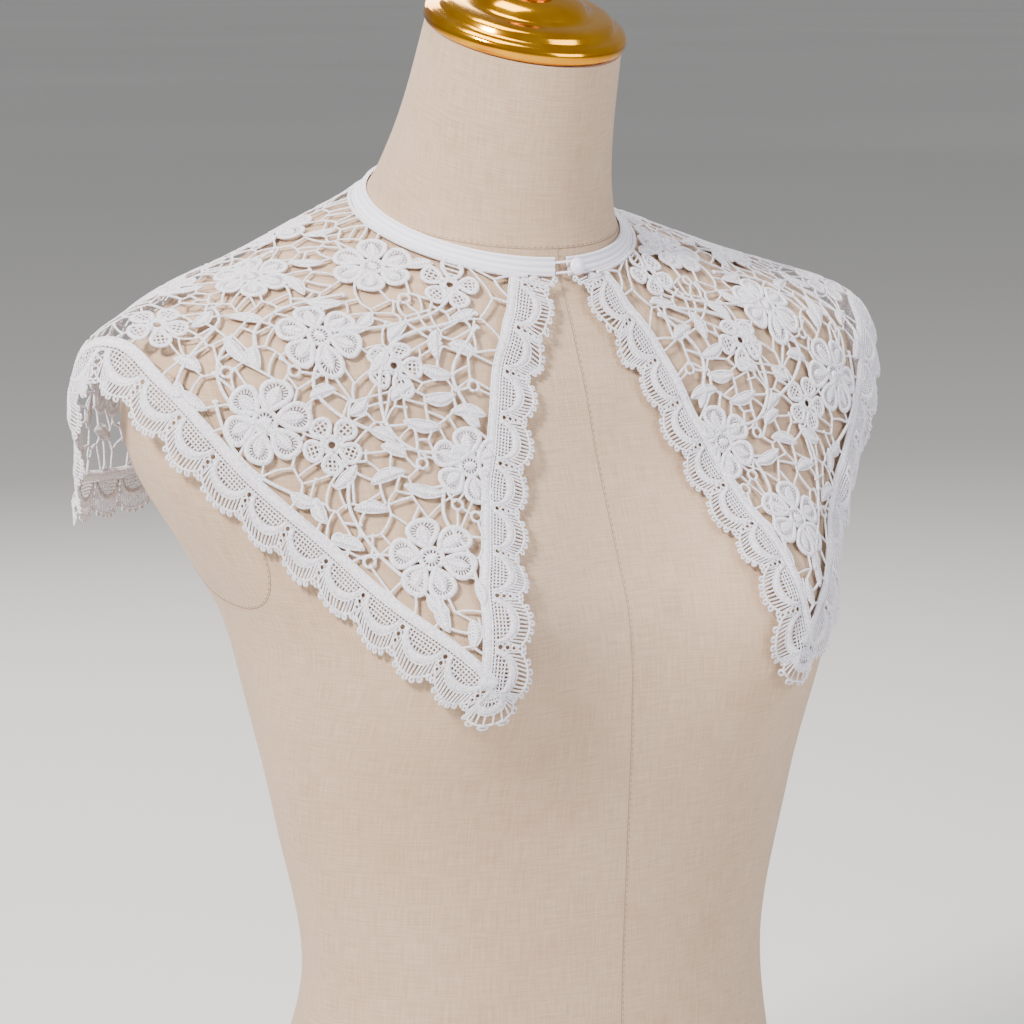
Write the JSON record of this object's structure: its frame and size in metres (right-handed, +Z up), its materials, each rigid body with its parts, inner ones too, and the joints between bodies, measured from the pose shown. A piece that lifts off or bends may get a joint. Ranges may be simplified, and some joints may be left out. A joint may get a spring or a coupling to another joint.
{
  "type": "lace collar on a limbless dress form",
  "caption": "Wide cape collar of openwork guipure lace with long front points, buttoned at the neck on a plain limbless dress form with a turned neck cap.",
  "frame": {"origin": "on the form's flat underside, straight below the middle of the neck line", "axes": "+Z up, front towards -Y, the wearer's left towards +X"},
  "size_m": [0.457, 0.2446, 0.7408],
  "materials": {
    "linen": "matt woven linen, cream",
    "gold": "polished gold plate",
    "lace": "matt embroidered cotton, cool white",
    "binding": "matt ribbed cotton, white",
    "pearl": "pearly white"
  },
  "bodies": {
    "root": {"form_torso": "linen", "neck_cap": "gold", "neck_band": "binding", "lace_front_left": "lace", "lace_front_right": "lace", "lace_back": "lace", "button": "pearl", "button_loop": "binding"}
  },
  "joints": []
}
